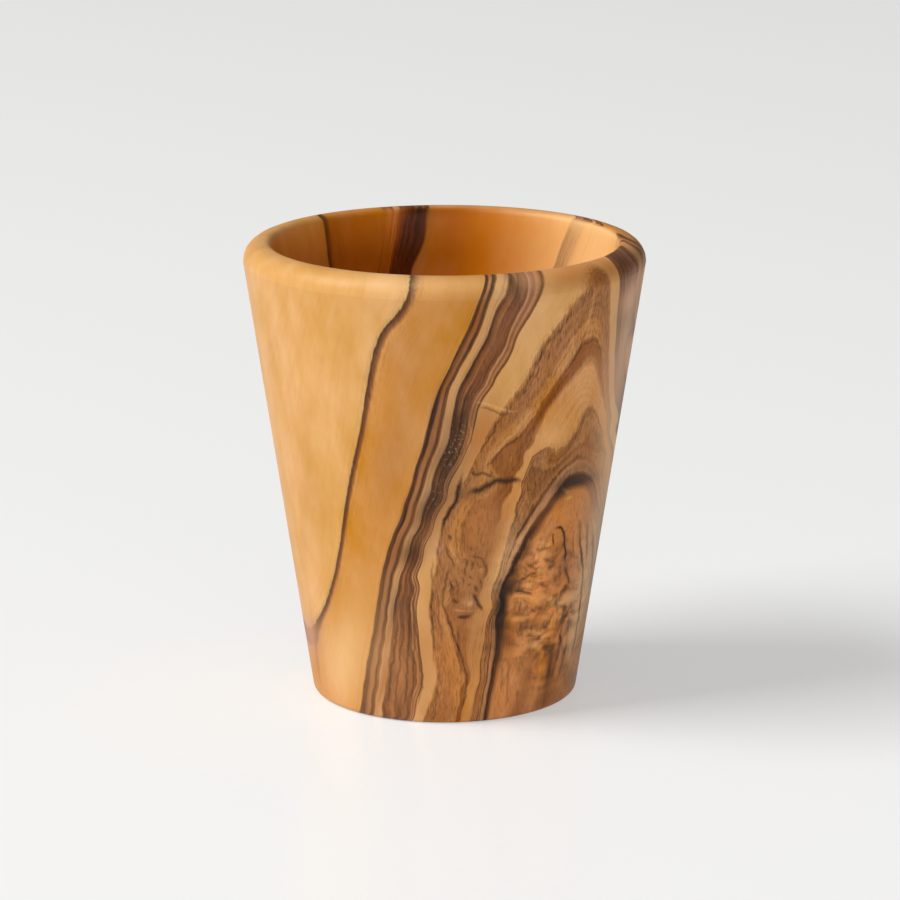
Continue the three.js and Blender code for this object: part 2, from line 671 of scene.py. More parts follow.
STAINS = {
    # Blurred bands on the right flank and on the far wall of the bore
    StainKind.FADE: (
        Stain((70, 48), 6.5, 30, 0.9),
        Stain((78, 18), 6, 22, 0.8),
        Stain((130, 40), 18, 60, 1.8, deep=14, in_bore=True),
        Stain((200, 56), 9, 14, 1.0, deep=9, in_bore=True),
    ),
    # The blackest stretches of the dark band, its lines, the arch, the knot, the bore and the lip
    StainKind.DARK: (
        Stain((4.8, 41.5), 1.4, 3.0, 0.65, lean=18),
        Stain((1.2, 36.6), 1.5, 3.2, 0.7, lean=24),
        Stain((-4.4, 30.3), 1.5, 4.2, 0.7, lean=28),
        Stain((-11.5, 23.5), 1.5, 2.0, 0.65, lean=28),
        Stain((-18.4, 16.5), 1.2, 3.4, 0.5, lean=12),
        Stain((-2.8, 43.5), 0.5, 2.6, 0.5, lean=14),
        Stain((22, 13.5), 0.9, 3.5, 0.9),
        Stain((21.5, 17), 1.0, 2.0, 0.6, lean=10),
        Stain((25, 19), 1.3, 1.5, 0.7, lean=30),
        Stain((27, 21.3), 1.2, 1.0, 0.35),
        Stain((43, 30.2), 1.1, 0.9, 0.6),
        Stain((50, 31.3), 4, 0.9, 0.9, lean=4),
        Stain((48.4, 6), 0.7, 3.2, 0.85),
        Stain((46, 1.5), 1.6, 1.2, 0.45),
        Stain((7.5, 31.6), 1.4, 0.8, 0.4),
        Stain((190.3, 56), 1.3, 12, 0.6, lean=-14, deep=6, in_bore=True),
        Stain((189, 60), 1.8, 1.2, 0.5, deep=3),
        Stain((19.6, 59.1), 0.5, 1.8, 0.7),
    ),
    # Pale patches of the wall and the knot; on the lip a painted highlight, on the right flank a painted
    # reflection, and in the bore painted light
    StainKind.PALE: (
        Stain((9.3, 16.9), 1.0, 0.6, 0.2),
        Stain((54, 15), 2.2, 0.7, 0.45),
        # A painted highlight along the top of the front lip
        Stain((-3, 59.3), 13, 1.3, 0.3),
        # Painted light on the shaded left inner wall of the bore
        Stain((240, 56), 7.0, 14, 0.28, deep=8, in_bore=True),
        Stain((66, 14), 2.0, 6.0, 0.3),
        # Painted reflection on the right flank, pale where it turns away
        Stain((68, 51), 3.0, 5.0, 0.35),
        Stain((-50, 6), 4.0, 6.0, 0.22),
        Stain((63, 9), 1.6, 3.0, 0.3),
        Stain((36, 38.5), 2.5, 2.0, 0.2),
        Stain((-40, 10), 4.0, 9.0, 0.34, lean=20),
        # More painted reflection on the right flank
        Stain((70, 40), 4.5, 9.0, 0.3),
        Stain((72, 20), 3.8, 12.0, 0.5),
        # Painted light on the key-lit right inner wall of the bore
        Stain((110, 50), 12, 30, 1.0, deep=10, in_bore=True),
        Stain((145, 54), 7, 14, 0.2, deep=8, in_bore=True),
        Stain((127, 54), 5, 14, 0.12, deep=8, in_bore=True),
        Stain((21, 22), 1.2, 5.0, 0.35, lean=16),
    ),
    # Curled wood
    StainKind.SWIRL: (
        Stain((8, 20), 3.8, 3.6, 0.45),
        Stain((38, 17), 6, 7, 0.4),
        Stain((18.5, 29), 2.0, 1.6, 0.4),
    ),
    # Open pits in the dark band, drawn as pale specks of painted glint
    StainKind.GLINTING_PITS: (
        Stain((3.5, 38.3), 1.0, 2.6, 0.9, lean=20),
        Stain((-3, 31.5), 0.8, 1.5, 0.6, lean=28),
    ),
    # Red-brown patches of the wall, the knot, the lip and the bore
    StainKind.RED: (
        Stain((4.3, 17.8), 0.7, 1.4, 0.6),
        Stain((6.8, 12), 1.1, 3.0, 0.4),
        Stain((12, 39.5), 1.6, 4.2, 0.5, lean=12),
        Stain((25.8, 11.5), 1.4, 3.2, 0.7),
        Stain((0, 1.5), 3.5, 1.6, 0.5),
        Stain((49.3, 58.4), 1.5, 1.1, 0.7),
        Stain((-7.5, 9), 1.3, 6.0, 0.3),
        Stain((-17.5, 36), 2.2, 7.0, 0.3, lean=15),
        Stain((-11, 50), 2.0, 6.0, 0.14, lean=10),
        Stain((-52, 30), 3.5, 8.0, 0.12),
        Stain((178, 55), 6.0, 14, 0.8, deep=8, in_bore=True),
        Stain((216, 56), 4.5, 14, 0.25, deep=8, in_bore=True),
        Stain((180, 60), 14, 1.0, 0.4, deep=5),
        Stain((55, 6), 2.5, 3.0, 0.35),
    ),
    # Plain brown wood: under the crack, between the dark lines, on the lip and in the bore
    StainKind.PLAIN: (
        Stain((-65, 9), 1.8, 2.4, 0.5),
        Stain((11.5, 27.5), 3.2, 5.0, 0.8),
        Stain((-18, 6.5), 2.6, 6.0, 0.75, lean=10),
        Stain((58, 6), 3.0, 5.0, 0.3),
        Stain((7, 38), 1.5, 6.0, 0.6, lean=18),
        Stain((-0.8, 41), 0.6, 3.0, 0.45, lean=20),
        Stain((-5.2, 35), 0.7, 3.4, 0.6, lean=26),
        Stain((-10.4, 28.5), 0.7, 3.4, 0.6, lean=28),
        Stain((-16, 22.5), 0.7, 3.0, 0.5, lean=28),
        Stain((-21.2, 13), 0.7, 4.0, 0.7, lean=20),
        Stain((-26.2, 5), 0.8, 5.0, 0.65, lean=18),
        Stain((-4.5, 26), 1.2, 3.0, 0.5, lean=24),
        Stain((1.5, 31), 1.3, 4.0, 0.5, lean=28),
        Stain((16.5, 25), 1.8, 6.0, 0.35, lean=20),
        Stain((10.5, 12), 2.2, 7.0, 0.6),
        Stain((8, 20), 3.6, 3.6, 0.5),
        Stain((20, 38), 2.4, 4.0, 0.45),
        Stain((18, 6), 1.4, 8.0, 0.3),
        Stain((2, 17), 3.0, 5.0, 0.4),
        Stain((-22.6, 17.5), 0.6, 3.5, 0.8, lean=20),
        Stain((49, 58.4), 1.8, 1.4, 0.5),
        Stain((160, 55), 9.0, 14, 0.5, deep=8, in_bore=True),
    ),
    # Where the dark lines turn brown
    StainKind.BLEACH: (
        Stain((-31, 8), 6, 11, 0.35, lean=28),
        Stain((-14, 6), 3.5, 7, 0.45),
        Stain((68, 42), 6, 12, 0.95),
        Stain((68, 54.6), 4.6, 2.2, 0.8),
        Stain((130, 50), 9, 40, 0.75, deep=9, in_bore=True),
        Stain((-69, 9), 5.5, 4.5, 0.95),
        Stain((20, 56), 2.2, 5, 0.5, lean=18),
        Stain((35, 26.8), 3.6, 1.6, 0.45, lean=50),
        Stain((39, 29.2), 1.3, 1.0, 0.5),
        Stain((202, 59.5), 3.0, 2.5, 0.9),
        Stain((127, 60), 3.0, 1.5, 0.8, deep=3),
        Stain((25, 59.3), 2.0, 1.5, 0.4),
        Stain((225, 56), 1.5, 14, 0.3, deep=8, in_bore=True),
    ),
    # Wavy fibres of the knot
    StainKind.CURLY: (
        Stain((38, 17), 6, 7, 1.0),
        Stain((52, 12), 6, 8, 0.8),
    ),
    # Orange patches of the wall, the lip and the bore
    StainKind.ORANGE: (
        Stain((11.5, 39.5), 2.0, 3.4, 0.5, lean=16),
        Stain((11.5, 27.5), 3.0, 4.0, 0.35),
        Stain((39, 59.3), 4.5, 1.5, 0.8),
        Stain((55.5, 59.4), 1.5, 1.5, 0.7),
        Stain((86, 59.8), 2.5, 1.2, 0.5),
        Stain((162, 55), 7.0, 14, 0.4, deep=8, in_bore=True),
        Stain((1.5, 8.5), 2.6, 6.0, 0.55),
    ),
    # Rosy patches, most of them where the dark lines turn brown
    StainKind.ROSE: (
        Stain((68, 47), 4.4, 8.0, 0.75),
        Stain((67.5, 54.8), 3.4, 2.2, 0.6),
        Stain((-72, 8.6), 3.4, 3.0, 0.65),
        Stain((-2.3, 24.5), 0.7, 1.4, 0.4),
        Stain((68, 21), 3.8, 9.0, 0.5),
        Stain((25.5, 59.3), 1.9, 1.4, 0.35),
    ),
}

STROKES = (
    # The crack beside the dark band, with a painted shadow line under it, and the two cracks below it
    Stroke(0.30, -0.7, ((9, 44.1), (11, 43.8), (14, 43.5), (17, 43), (20, 42.7), (23, 42.5))),
    # A painted shadow under the crack's edge
    Stroke(0.30, 0.45, ((10, 43.3), (13, 43.1), (16, 42.6), (18, 42.1), (20, 42.2))),
    Stroke(0.38, 0.65, ((7.5, 34.9), (10.5, 34.3), (12, 34.5), (14, 34.2), (17, 33.7))),
    Stroke(0.75, 0.95, ((7.5, 32), (9, 32.2), (11, 32.2), (14, 32.8), (17, 33.2), (20, 33.2),
                        (22, 33.3), (24.5, 33.1), (27, 32.7))),
    Stroke(0.50, 1.0, ((5.8, 35), (5, 33), (3.5, 31), (2.5, 30), (1, 28.8), (0, 27.8), (-1.3, 26.5))),
    Stroke(0.35, -0.4, ((7.5, 42), (8.3, 40), (7.3, 38), (5.5, 36), (3.5, 34))),
    # Brown edges of the figure above the cracks
    Stroke(0.30, 0.5, ((17.5, 41.8), (16, 41), (14.5, 39.5), (12.5, 38.2), (11.2, 37.2))),
    Stroke(0.40, -0.45, ((29.5, 43.6), (25, 41), (21, 39.2), (17, 37.5), (13.5, 36.3))),
    Stroke(0.30, 0.5, ((26, 39.8), (22, 38.4), (20, 38), (17, 37), (14.5, 35.7), (13, 35))),
    Stroke(0.28, 0.5, ((43.2, 57.5), (42.8, 56.5), (42.5, 55.5))),
    Stroke(0.28, 0.5, ((45.3, 53), (44.6, 51.5), (43.5, 50), (41.5, 48.7), (39, 47))),
    Stroke(0.45, -0.4, ((46.5, 57.5), (46, 55), (45.5, 53), (44, 50.8))),
    # Lines left of the curled patch
    Stroke(0.32, 0.6, ((0, 25.2), (1.5, 23.7), (3, 22.4), (3.6, 21.6))),
    Stroke(0.28, -0.4, ((1.5, 25.3), (3, 24), (4.5, 23), (5.5, 22))),
    Stroke(0.35, 0.7, ((0.8, 26.3), (1.6, 25.9), (2.4, 25.4))),
    Stroke(0.30, 0.55, ((0.8, 22.8), (1.5, 21.5), (0.6, 20), (-0.5, 18.5), (-0.8, 17), (0.2, 15.8),
                        (1.6, 14.4), (3, 13), (3.6, 11))),
    Stroke(0.28, 0.4, ((-3, 19), (-2.2, 17), (-2.4, 15), (-1, 13), (-0.5, 11))),
    # Curls and dark knots of the curled patch
    Stroke(0.30, 0.5, ((8.5, 23.3), (11, 23), (13, 22.8), (14.5, 22), (15.1, 20.7), (14.4, 19.8))),
    Stroke(0.22, -0.5, ((12, 21), (12.6, 21.6), (13.5, 21.4), (13.6, 20.8), (12.8, 20.6), (12.2, 21))),
    Stroke(0.25, 0.5, ((7, 22.6), (7.8, 22), (7.2, 21.2), (8, 20.4))),
    Stroke(0.40, 0.65, ((10.8, 19.2), (11.6, 18.8), (12.2, 18.3))),
    Stroke(0.30, 0.55, ((8.3, 19.4), (9.3, 19.1), (10.2, 19.4))),
    Stroke(0.28, 0.5, ((1.5, 20.6), (2.5, 19.5), (2, 18.2), (2.8, 17.2))),
    Stroke(0.28, 0.45, ((4, 20.4), (4.6, 19), (4.2, 17.8))),
    Stroke(0.50, 0.65, ((2.8, 17.4), (4, 17.1), (5.6, 16.9))),
    Stroke(0.50, 0.85, ((10.2, 18.3), (11.2, 17.6), (12.3, 16.8), (13.3, 16.2), (14.8, 15.6))),
    Stroke(0.26, 0.45, ((5.8, 22.2), (6.8, 22.9), (7.9, 22.6), (8.2, 21.8))),
    Stroke(0.26, 0.45, ((9.2, 22.6), (10.2, 22.1), (10, 21.3), (9.2, 21.1))),
    Stroke(0.26, 0.45, ((11, 22.4), (12, 22.1), (12.3, 21.4))),
    Stroke(0.26, 0.4, ((6.2, 20.6), (7, 20.1), (6.8, 19.3))),
    Stroke(0.26, 0.4, ((8.9, 20.7), (9.8, 20.2), (10.9, 20.3))),
    Stroke(0.26, 0.45, ((12.9, 20.1), (13.6, 19.6), (13.1, 18.9))),
    Stroke(0.30, 0.5, ((2.2, 19.8), (3, 18.8), (3.2, 17.8))),
    Stroke(0.40, 0.85, ((4.5, 15.1), (6, 14.9), (8, 14.9), (9.8, 15.1))),
    Stroke(0.30, -0.4, ((3, 16), (6, 15.8), (9, 15.7), (12, 15.6))),
    Stroke(0.28, 0.5, ((5, 14), (5.4, 12), (5, 10), (6.2, 8), (6.8, 6.5))),
    # Chips where the black arch is broken
    Stroke(0.45, -0.8, ((43.2, 31.2), (44.6, 30.4), (46.4, 29.9))),
    Stroke(0.35, -0.6, ((44.6, 29.4), (46.6, 29.3), (49, 29.6))),
    # The second line outside the arch and the smear inside it
    Stroke(0.35, 0.7, ((24.5, 24.6), (26.5, 25.8), (29, 27.3), (31, 28.6), (34, 30))),
    Stroke(0.28, -0.5, ((22.3, 21.2), (24, 23), (26.5, 24.6), (29.5, 26.3), (33, 28))),
    Stroke(0.30, 0.6, ((27.5, 19.4), (30, 19.3), (33, 19.9), (35, 20))),
    Stroke(0.35, 0.7, ((26.5, 18), (29, 17.7), (32, 17.5), (35, 16.9))),
    Stroke(0.35, 0.5, ((29.5, 21.6), (32, 21), (35, 20.6), (37, 20.8))),
    Stroke(0.30, -0.4, ((28, 18.8), (31, 18.6), (34, 18.4), (37, 18.7))),
    # Thin lines in the foot of the dark band and to the right of it
    Stroke(0.28, 0.5, ((-17, 15), (-18.5, 12.6), (-21.2, 8.2), (-23, 4.8), (-24.5, 1.4))),
    Stroke(0.26, 0.45, ((-14.8, 15), (-16, 12.7), (-18.2, 8.3), (-20, 4.5), (-21.8, 0.8))),
    Stroke(0.26, 0.5, ((-13, 15.4), (-13.8, 12.4), (-14.8, 8.4), (-16.2, 4.4), (-18, 0.7))),
    Stroke(0.26, 0.45, ((-12.4, 15), (-12, 12.5), (-12.2, 8.4), (-13.6, 4.2), (-15.6, 0.8))),
    Stroke(0.30, 0.6, ((-10, 21.7), (-11.3, 17), (-11.4, 13.4), (-9.9, 10), (-9.2, 7), (-9.4, 5),
                       (-13.2, 0.8))),
    Stroke(0.28, 0.5, ((-4, 23.5), (-4.6, 20), (-4.8, 16.9), (-4.2, 12), (-4, 8.5))),
    Stroke(0.30, 0.6, ((0.8, 15.2), (4, 11.8), (8.2, 7.8), (9, 5.8), (8.2, 3.4), (5.8, 0.9))),
    # The soft end of the hairline along the left edge
    Stroke(0.90, 0.22, ((-54, 13), (-58, 11.4), (-62.5, 9.8), (-66, 7.5), (-67, 4.4), (-67, 1))),
    # The strong line of the knot and the short one beside it
    Stroke(0.35, 0.9, ((40.8, 25.1), (41.2, 24.3), (42.2, 23.2))),
    Stroke(0.42, 1.0, ((41, 25.4), (43, 25.7), (45, 25.4), (46.3, 24.7), (47.3, 23.6), (48.5, 22.3),
                       (49.2, 21), (50, 20.4))),
    Stroke(0.42, 0.8, ((50.3, 19.9), (51.5, 18.9), (52.6, 18), (53.6, 16.8))),
    # Lines that run down the right of the knot
    Stroke(0.50, 0.6, ((55.5, 23.9), (60.3, 20.7), (64, 17.5), (65.8, 14.2), (66.6, 11.2), (66, 7.6),
                       (64, 4.5))),
    Stroke(0.55, 0.55, ((53.2, 16.6), (52.8, 13.6), (53, 10.4), (52.8, 7.5), (51.4, 5.2), (50, 2.8))),
    Stroke(0.60, 0.45, ((66, 23.4), (71, 20.5), (74.5, 17), (77, 14))),
    Stroke(0.45, 0.45, ((57, 13), (58.2, 10.5), (58, 8), (56.6, 5.5), (55, 3))),
    Stroke(0.50, -0.5, ((62, 17), (63.6, 14), (64.2, 11), (63.6, 8))),
    # Wavy fibres of the knot
    Stroke(0.90, -0.7, ((42.6, 15.9), (44.5, 15.6), (46.5, 15.3))),
    Stroke(0.90, -0.7, ((51, 15.5), (53, 15.2), (55.4, 14.9))),
    Stroke(0.90, -0.45, ((30, 10.1), (35, 9.9), (40, 9.9))),
    Stroke(0.80, -0.4, ((36, 22.4), (39, 22.2), (42, 22.4))),
    Stroke(0.90, -0.4, ((46, 13), (50, 13.2), (52.5, 12.6))),
    Stroke(0.90, -0.35, ((54, 6), (57, 9), (60, 12))),
    # A pale gleam in the curled patch
    Stroke(0.55, -0.6, ((8.2, 16.6), (9.3, 16.7), (10.4, 16.6))),
    # More wavy fibres, from the top of the knot to its foot
    Stroke(0.45, -0.6, ((33.5, 24.4), (36, 24), (38.5, 23.7), (40.5, 23.6))),
    Stroke(0.40, 0.5, ((34, 23.4), (36, 23), (38.5, 23.2), (41, 23.1))),
    Stroke(0.45, 0.45, ((46.3, 20.6), (47, 19.5), (47.6, 18))),
    Stroke(0.55, 0.35, ((44, 19.6), (45, 18.6), (45.2, 17.6))),
    Stroke(0.40, 0.35, ((51.6, 24.6), (52.8, 23), (54, 21.2))),
    Stroke(0.50, 0.5, ((54, 26.2), (56, 24.4), (57.5, 22.4), (60, 20.4), (62, 18.4))),
    Stroke(0.50, 0.45, ((60.5, 25.4), (63, 22), (66, 19))),
    Stroke(0.50, -0.5, ((57.5, 25.6), (60, 22.6), (62.6, 20))),
    Stroke(0.45, -0.35, ((52.8, 24.6), (54.2, 22.8), (55, 21))),
    Stroke(0.45, 0.35, ((37, 21.8), (40, 21.2), (42.5, 21.6), (44, 20.8))),
    Stroke(0.45, -0.4, ((36, 20), (39, 20.2), (41.5, 19.6), (43.5, 20))),
    Stroke(0.45, 0.35, ((35.5, 18), (38.5, 18.4), (41, 17.7), (43, 18))),
    Stroke(0.50, -0.45, ((34, 15.9), (37, 16.3), (40, 16.4), (43, 15.9), (46.5, 15.8))),
    Stroke(0.45, 0.4, ((25.5, 14.9), (29, 14.6), (33, 14.4), (36, 14.8))),
    Stroke(0.45, -0.45, ((25.5, 14.2), (29, 13.9), (33, 13.7))),
    Stroke(0.45, 0.35, ((30, 12.9), (34, 12.5), (38, 12.6), (41, 12.2), (44, 11.6), (47, 11.1))),
    Stroke(0.50, -0.45, ((30, 12.2), (34, 12), (38, 11.8), (42, 11), (45, 10.7))),
    Stroke(0.45, -0.4, ((40, 13.4), (43, 13.2), (46, 12.7))),
    Stroke(0.45, 0.3, ((36, 14), (39, 14.2), (42, 13.9), (44, 13.7))),
    Stroke(0.55, 0.45, ((47.4, 15.1), (48.6, 13.8), (49.1, 12.6), (48.6, 11.4))),
    Stroke(0.60, 0.5, ((58, 14.6), (56.6, 13.6), (55, 12.8), (53.8, 12))),
    Stroke(0.60, 0.35, ((63.5, 14.6), (65.5, 13.2), (67.5, 11.8))),
    Stroke(0.60, 0.4, ((37, 7.2), (39, 8.2), (42.2, 8.9), (46, 9.3), (50.3, 9.2))),
    Stroke(0.60, -0.4, ((36, 9), (39, 10), (42, 10.4), (46, 10.5))),
    Stroke(0.60, 0.4, ((51.5, 10.6), (53, 9.8), (54.6, 8.4), (57, 7.6), (59, 6.8))),
    Stroke(0.40, 0.35, ((26.4, 9), (26.8, 6.5), (26.6, 4), (27, 1.6))),
    Stroke(0.35, 0.3, ((23.5, 8), (24.2, 6), (23.6, 3.6))),
    Stroke(0.40, 0.25, ((31.6, 4.2), (32.2, 2.8), (31.6, 1.4))),
)

# The wood where the outer bands end and the inner ones begin
SPLIT = Band(16.85, Tone.STRAW)

OUTER_BANDS = (
    Band(-3.0, Tone.HONEY),
    Band(-1.1, Tone.HONEY),
    Band(-0.45, Tone.DULL_HONEY, 0.05),
    Band(-0.32, Tone.UMBER, 0.7),
    Band(-0.05, Tone.UMBER, 0.55),
    Band(0.3, Tone.RUSSET, 0.2),
    Band(0.6, Tone.AMBER, 0.05),
    Band(1.3, Tone.AMBER),
    Band(9.3, Tone.AMBER),
    Band(9.45, Tone.RUSSET, 0.85),
    Band(9.85, Tone.RUSSET, 0.8),
    Band(10.05, Tone.RUSSET, 0.1),
    Band(10.4, Tone.RUSSET, 0.08),
    Band(10.6, Tone.RUSSET, 0.85),
    Band(10.9, Tone.RUSSET, 0.6),
    Band(11.1, Tone.BUFF),
    Band(11.98, Tone.BUFF),
    Band(12.18, Tone.UMBER, 0.75),
    Band(12.5, Tone.UMBER, 0.5),
    Band(12.65, Tone.UMBER, 0.05),
    Band(13.05, Tone.RUSSET, 0.15),
    Band(13.3, Tone.UMBER, 0.5),
    Band(13.65, Tone.UMBER, 0.1),
    Band(14.25, Tone.UMBER, 0.1),
    Band(14.6, Tone.UMBER, 0.5),
    Band(14.95, Tone.RUSSET, 0.5),
    Band(15.25, Tone.MAUVE),
    Band(15.75, Tone.RUSSET, 0.3),
    Band(16.1, Tone.MAUVE),
    Band(16.4, Tone.RUSSET, 0.3),
    Band(16.6, Tone.RUSSET, 0.8),
    SPLIT,
)

INNER_BANDS = (
    SPLIT,
    Band(20.5, Tone.STRAW),
    Band(20.9, Tone.TAN, 0.1),
    Band(21.2, Tone.FIGURE, 0.35),
    Band(22.2, Tone.FIGURE, 0.15),
    Band(24.0, Tone.FIGURE, 0.0),
    Band(24.6, Tone.TAN),
    Band(25.8, Tone.TAN),
    Band(26.3, Tone.CHESTNUT, 0.1),
    Band(27.8, Tone.CHESTNUT, 0.1),
    Band(28.8, Tone.CORE),
    Band(32.5, Tone.CORE),
    Band(32.9, Tone.CHESTNUT, 0.3),
    Band(33.2, Tone.FIGURE, 0.3),
    Band(33.9, Tone.FIGURE, 0.25),
    Band(34.3, Tone.RUSSET, 0.2),
    Band(34.8, Tone.FIGURE, 0.1),
    Band(35.15, Tone.RUSSET, 0.5),
    Band(35.45, Tone.MAUVE),
    Band(36.1, Tone.MAUVE),
    Band(36.4, Tone.UMBER, 0.6),
    Band(36.7, Tone.UMBER, 0.95),
    Band(37.1, Tone.UMBER, 0.8),
    Band(37.6, Tone.RUSSET, 0.35),
    Band(38.5, Tone.KNOT),
    Band(41.0, Tone.KNOT),
    Band(43.0, Tone.KNOT_BROWN),
    Band(45.0, Tone.KNOT),
    Band(48.0, Tone.KNOT_BROWN, 0.2),
)

SOFT_BANDS = (
    Band(-3.0, Tone.HONEY),
    Band(-0.6, Tone.HONEY),
    Band(-0.1, Tone.RUSSET, 0.7),
    Band(0.4, Tone.RUSSET, 0.35),
    Band(3.0, Tone.TAN),
    Band(6.0, Tone.AMBER),
    Band(9.5, Tone.AMBER),
    Band(11.6, Tone.TAN, 0.1),
    Band(12.3, Tone.RUSSET, 0.45),
    Band(13.5, Tone.UMBER, 0.6),
    Band(15.0, Tone.UMBER, 0.75),
    Band(16.35, Tone.UMBER, 0.85),
    Band(16.75, Tone.STRAW),
    Band(20.5, Tone.STRAW),
    Band(22.0, Tone.FIGURE),
    Band(26.0, Tone.TAN),
    Band(29.0, Tone.CORE),
    Band(32.5, Tone.TAN),
    Band(36.0, Tone.FIGURE, 0.2),
    Band(48.0, Tone.KNOT),
)

HABITS = (
    Habit(-30.0, 0.06, 0.05, 0.03),
    Habit(-1.5, 0.06, 0.05, 0.03),
    Habit(0.0, 0.30, 0.35, 0.35),
    Habit(2.0, 0.07, 0.05, 0.04),
    Habit(8.5, 0.07, 0.05, 0.04),
    Habit(9.5, 0.50, 0.10, 0.15),
    Habit(11.0, 0.45, 0.12, 0.15),
    Habit(12.0, 0.45, 0.12, 0.15),
    Habit(12.6, 0.80, 0.15, 0.50),
    Habit(15.0, 0.80, 0.20, 0.40),
    Habit(16.8, 0.25, 0.15, 0.05),
    Habit(18.0, 0.05, 0.20, 0.02),
    Habit(20.0, 0.08, 0.60, 0.05),
    Habit(21.3, 0.45, 1.00, 1.00),
    Habit(23.0, 0.50, 1.00, 0.80),
    Habit(26.0, 0.60, 0.90, 0.70),
    Habit(28.0, 0.50, 0.70, 0.50),
    Habit(29.5, 0.25, 0.60, 0.20),
    Habit(32.0, 0.30, 0.70, 0.25),
    Habit(33.2, 0.90, 0.70, 0.60),
    Habit(36.0, 0.80, 0.50, 0.50),
    Habit(38.0, 0.40, 0.30, 0.20),
    Habit(39.5, 0.30, 0.30, 0.40),
    Habit(48.0, 0.20, 0.30, 0.40),
)


